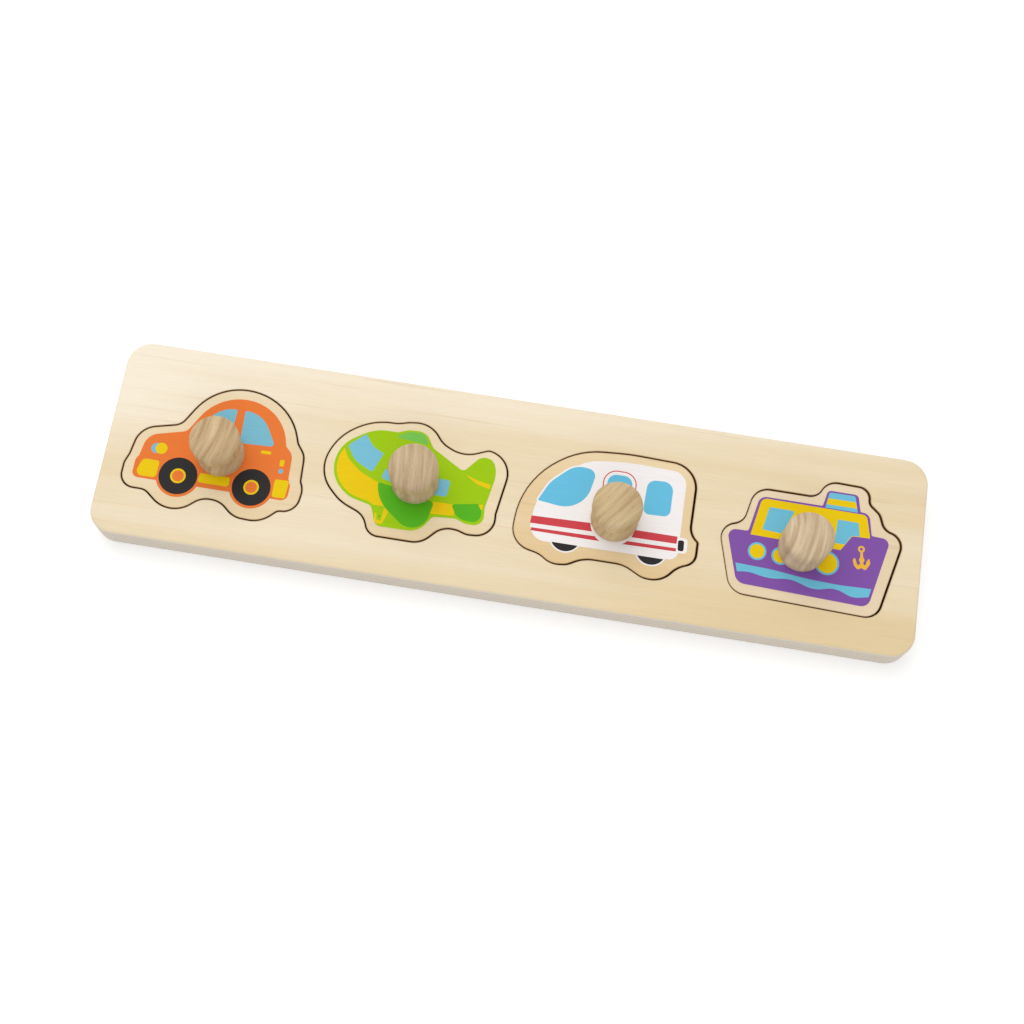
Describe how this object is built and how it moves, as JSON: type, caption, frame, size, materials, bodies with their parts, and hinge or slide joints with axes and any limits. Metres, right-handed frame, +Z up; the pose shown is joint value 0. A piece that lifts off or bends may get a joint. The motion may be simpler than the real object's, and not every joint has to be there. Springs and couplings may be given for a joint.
{
  "type": "peg puzzle",
  "caption": "Long wooden peg puzzle board with printed car, plane, van and boat pieces that lift out of their sawn cut-outs by turned knobs.",
  "frame": {"origin": "centre of the board's underside", "axes": "+X along the board, from the car to the boat; +Y across it, towards its rear edge; +Z up, out of its face"},
  "size_m": [0.4, 0.1, 0.041],
  "materials": {
    "base_plywood": "light plywood, sanded",
    "frame_plywood": "light plywood, sanded, saw lines burnt dark",
    "piece_plywood": "light plywood, sanded, edges burnt dark",
    "turned_beech": "turned beech, sanded",
    "zinc_plated_steel": "bright zinc plate",
    "orange_ink": "screen-printed ink",
    "yellow_ink": "screen-printed ink",
    "pale_blue_ink": "screen-printed ink",
    "black_ink": "screen-printed ink",
    "lime_ink": "screen-printed ink",
    "green_ink": "screen-printed ink",
    "pale_green_ink": "screen-printed ink",
    "white_ink": "screen-printed ink",
    "red_ink": "screen-printed ink",
    "blue_ink": "screen-printed ink",
    "purple_ink": "screen-printed ink",
    "gold_ink": "screen-printed ink"
  },
  "bodies": {
    "board": {"board_base": "base_plywood", "board_frame": "frame_plywood"},
    "car": {"car_piece": "piece_plywood", "car_knob": "turned_beech", "car_screw": "zinc_plated_steel", "car_orange_print": "orange_ink", "car_yellow_print": "yellow_ink", "car_blue_print": "pale_blue_ink", "car_black_print": "black_ink"},
    "plane": {"plane_piece": "piece_plywood", "plane_knob": "turned_beech", "plane_screw": "zinc_plated_steel", "plane_lime_print": "lime_ink", "plane_green_print": "green_ink", "plane_far_wing_print": "pale_green_ink", "plane_yellow_print": "yellow_ink", "plane_blue_print": "pale_blue_ink"},
    "van": {"van_piece": "piece_plywood", "van_knob": "turned_beech", "van_screw": "zinc_plated_steel", "van_white_print": "white_ink", "van_red_print": "red_ink", "van_blue_print": "blue_ink", "van_black_print": "black_ink"},
    "boat": {"boat_piece": "piece_plywood", "boat_knob": "turned_beech", "boat_screw": "zinc_plated_steel", "boat_purple_print": "purple_ink", "boat_yellow_print": "yellow_ink", "boat_blue_print": "pale_blue_ink", "boat_gold_print": "gold_ink"}
  },
  "joints": [
    {"name": "car_lift", "type": "slide", "parent": "board", "child": "car", "axis": [0, 0, 1], "range_m": [0, 0.06]},
    {"name": "plane_lift", "type": "slide", "parent": "board", "child": "plane", "axis": [0, 0, 1], "range_m": [0, 0.06]},
    {"name": "van_lift", "type": "slide", "parent": "board", "child": "van", "axis": [0, 0, 1], "range_m": [0, 0.06]},
    {"name": "boat_lift", "type": "slide", "parent": "board", "child": "boat", "axis": [0, 0, 1], "range_m": [0, 0.06]}
  ]
}
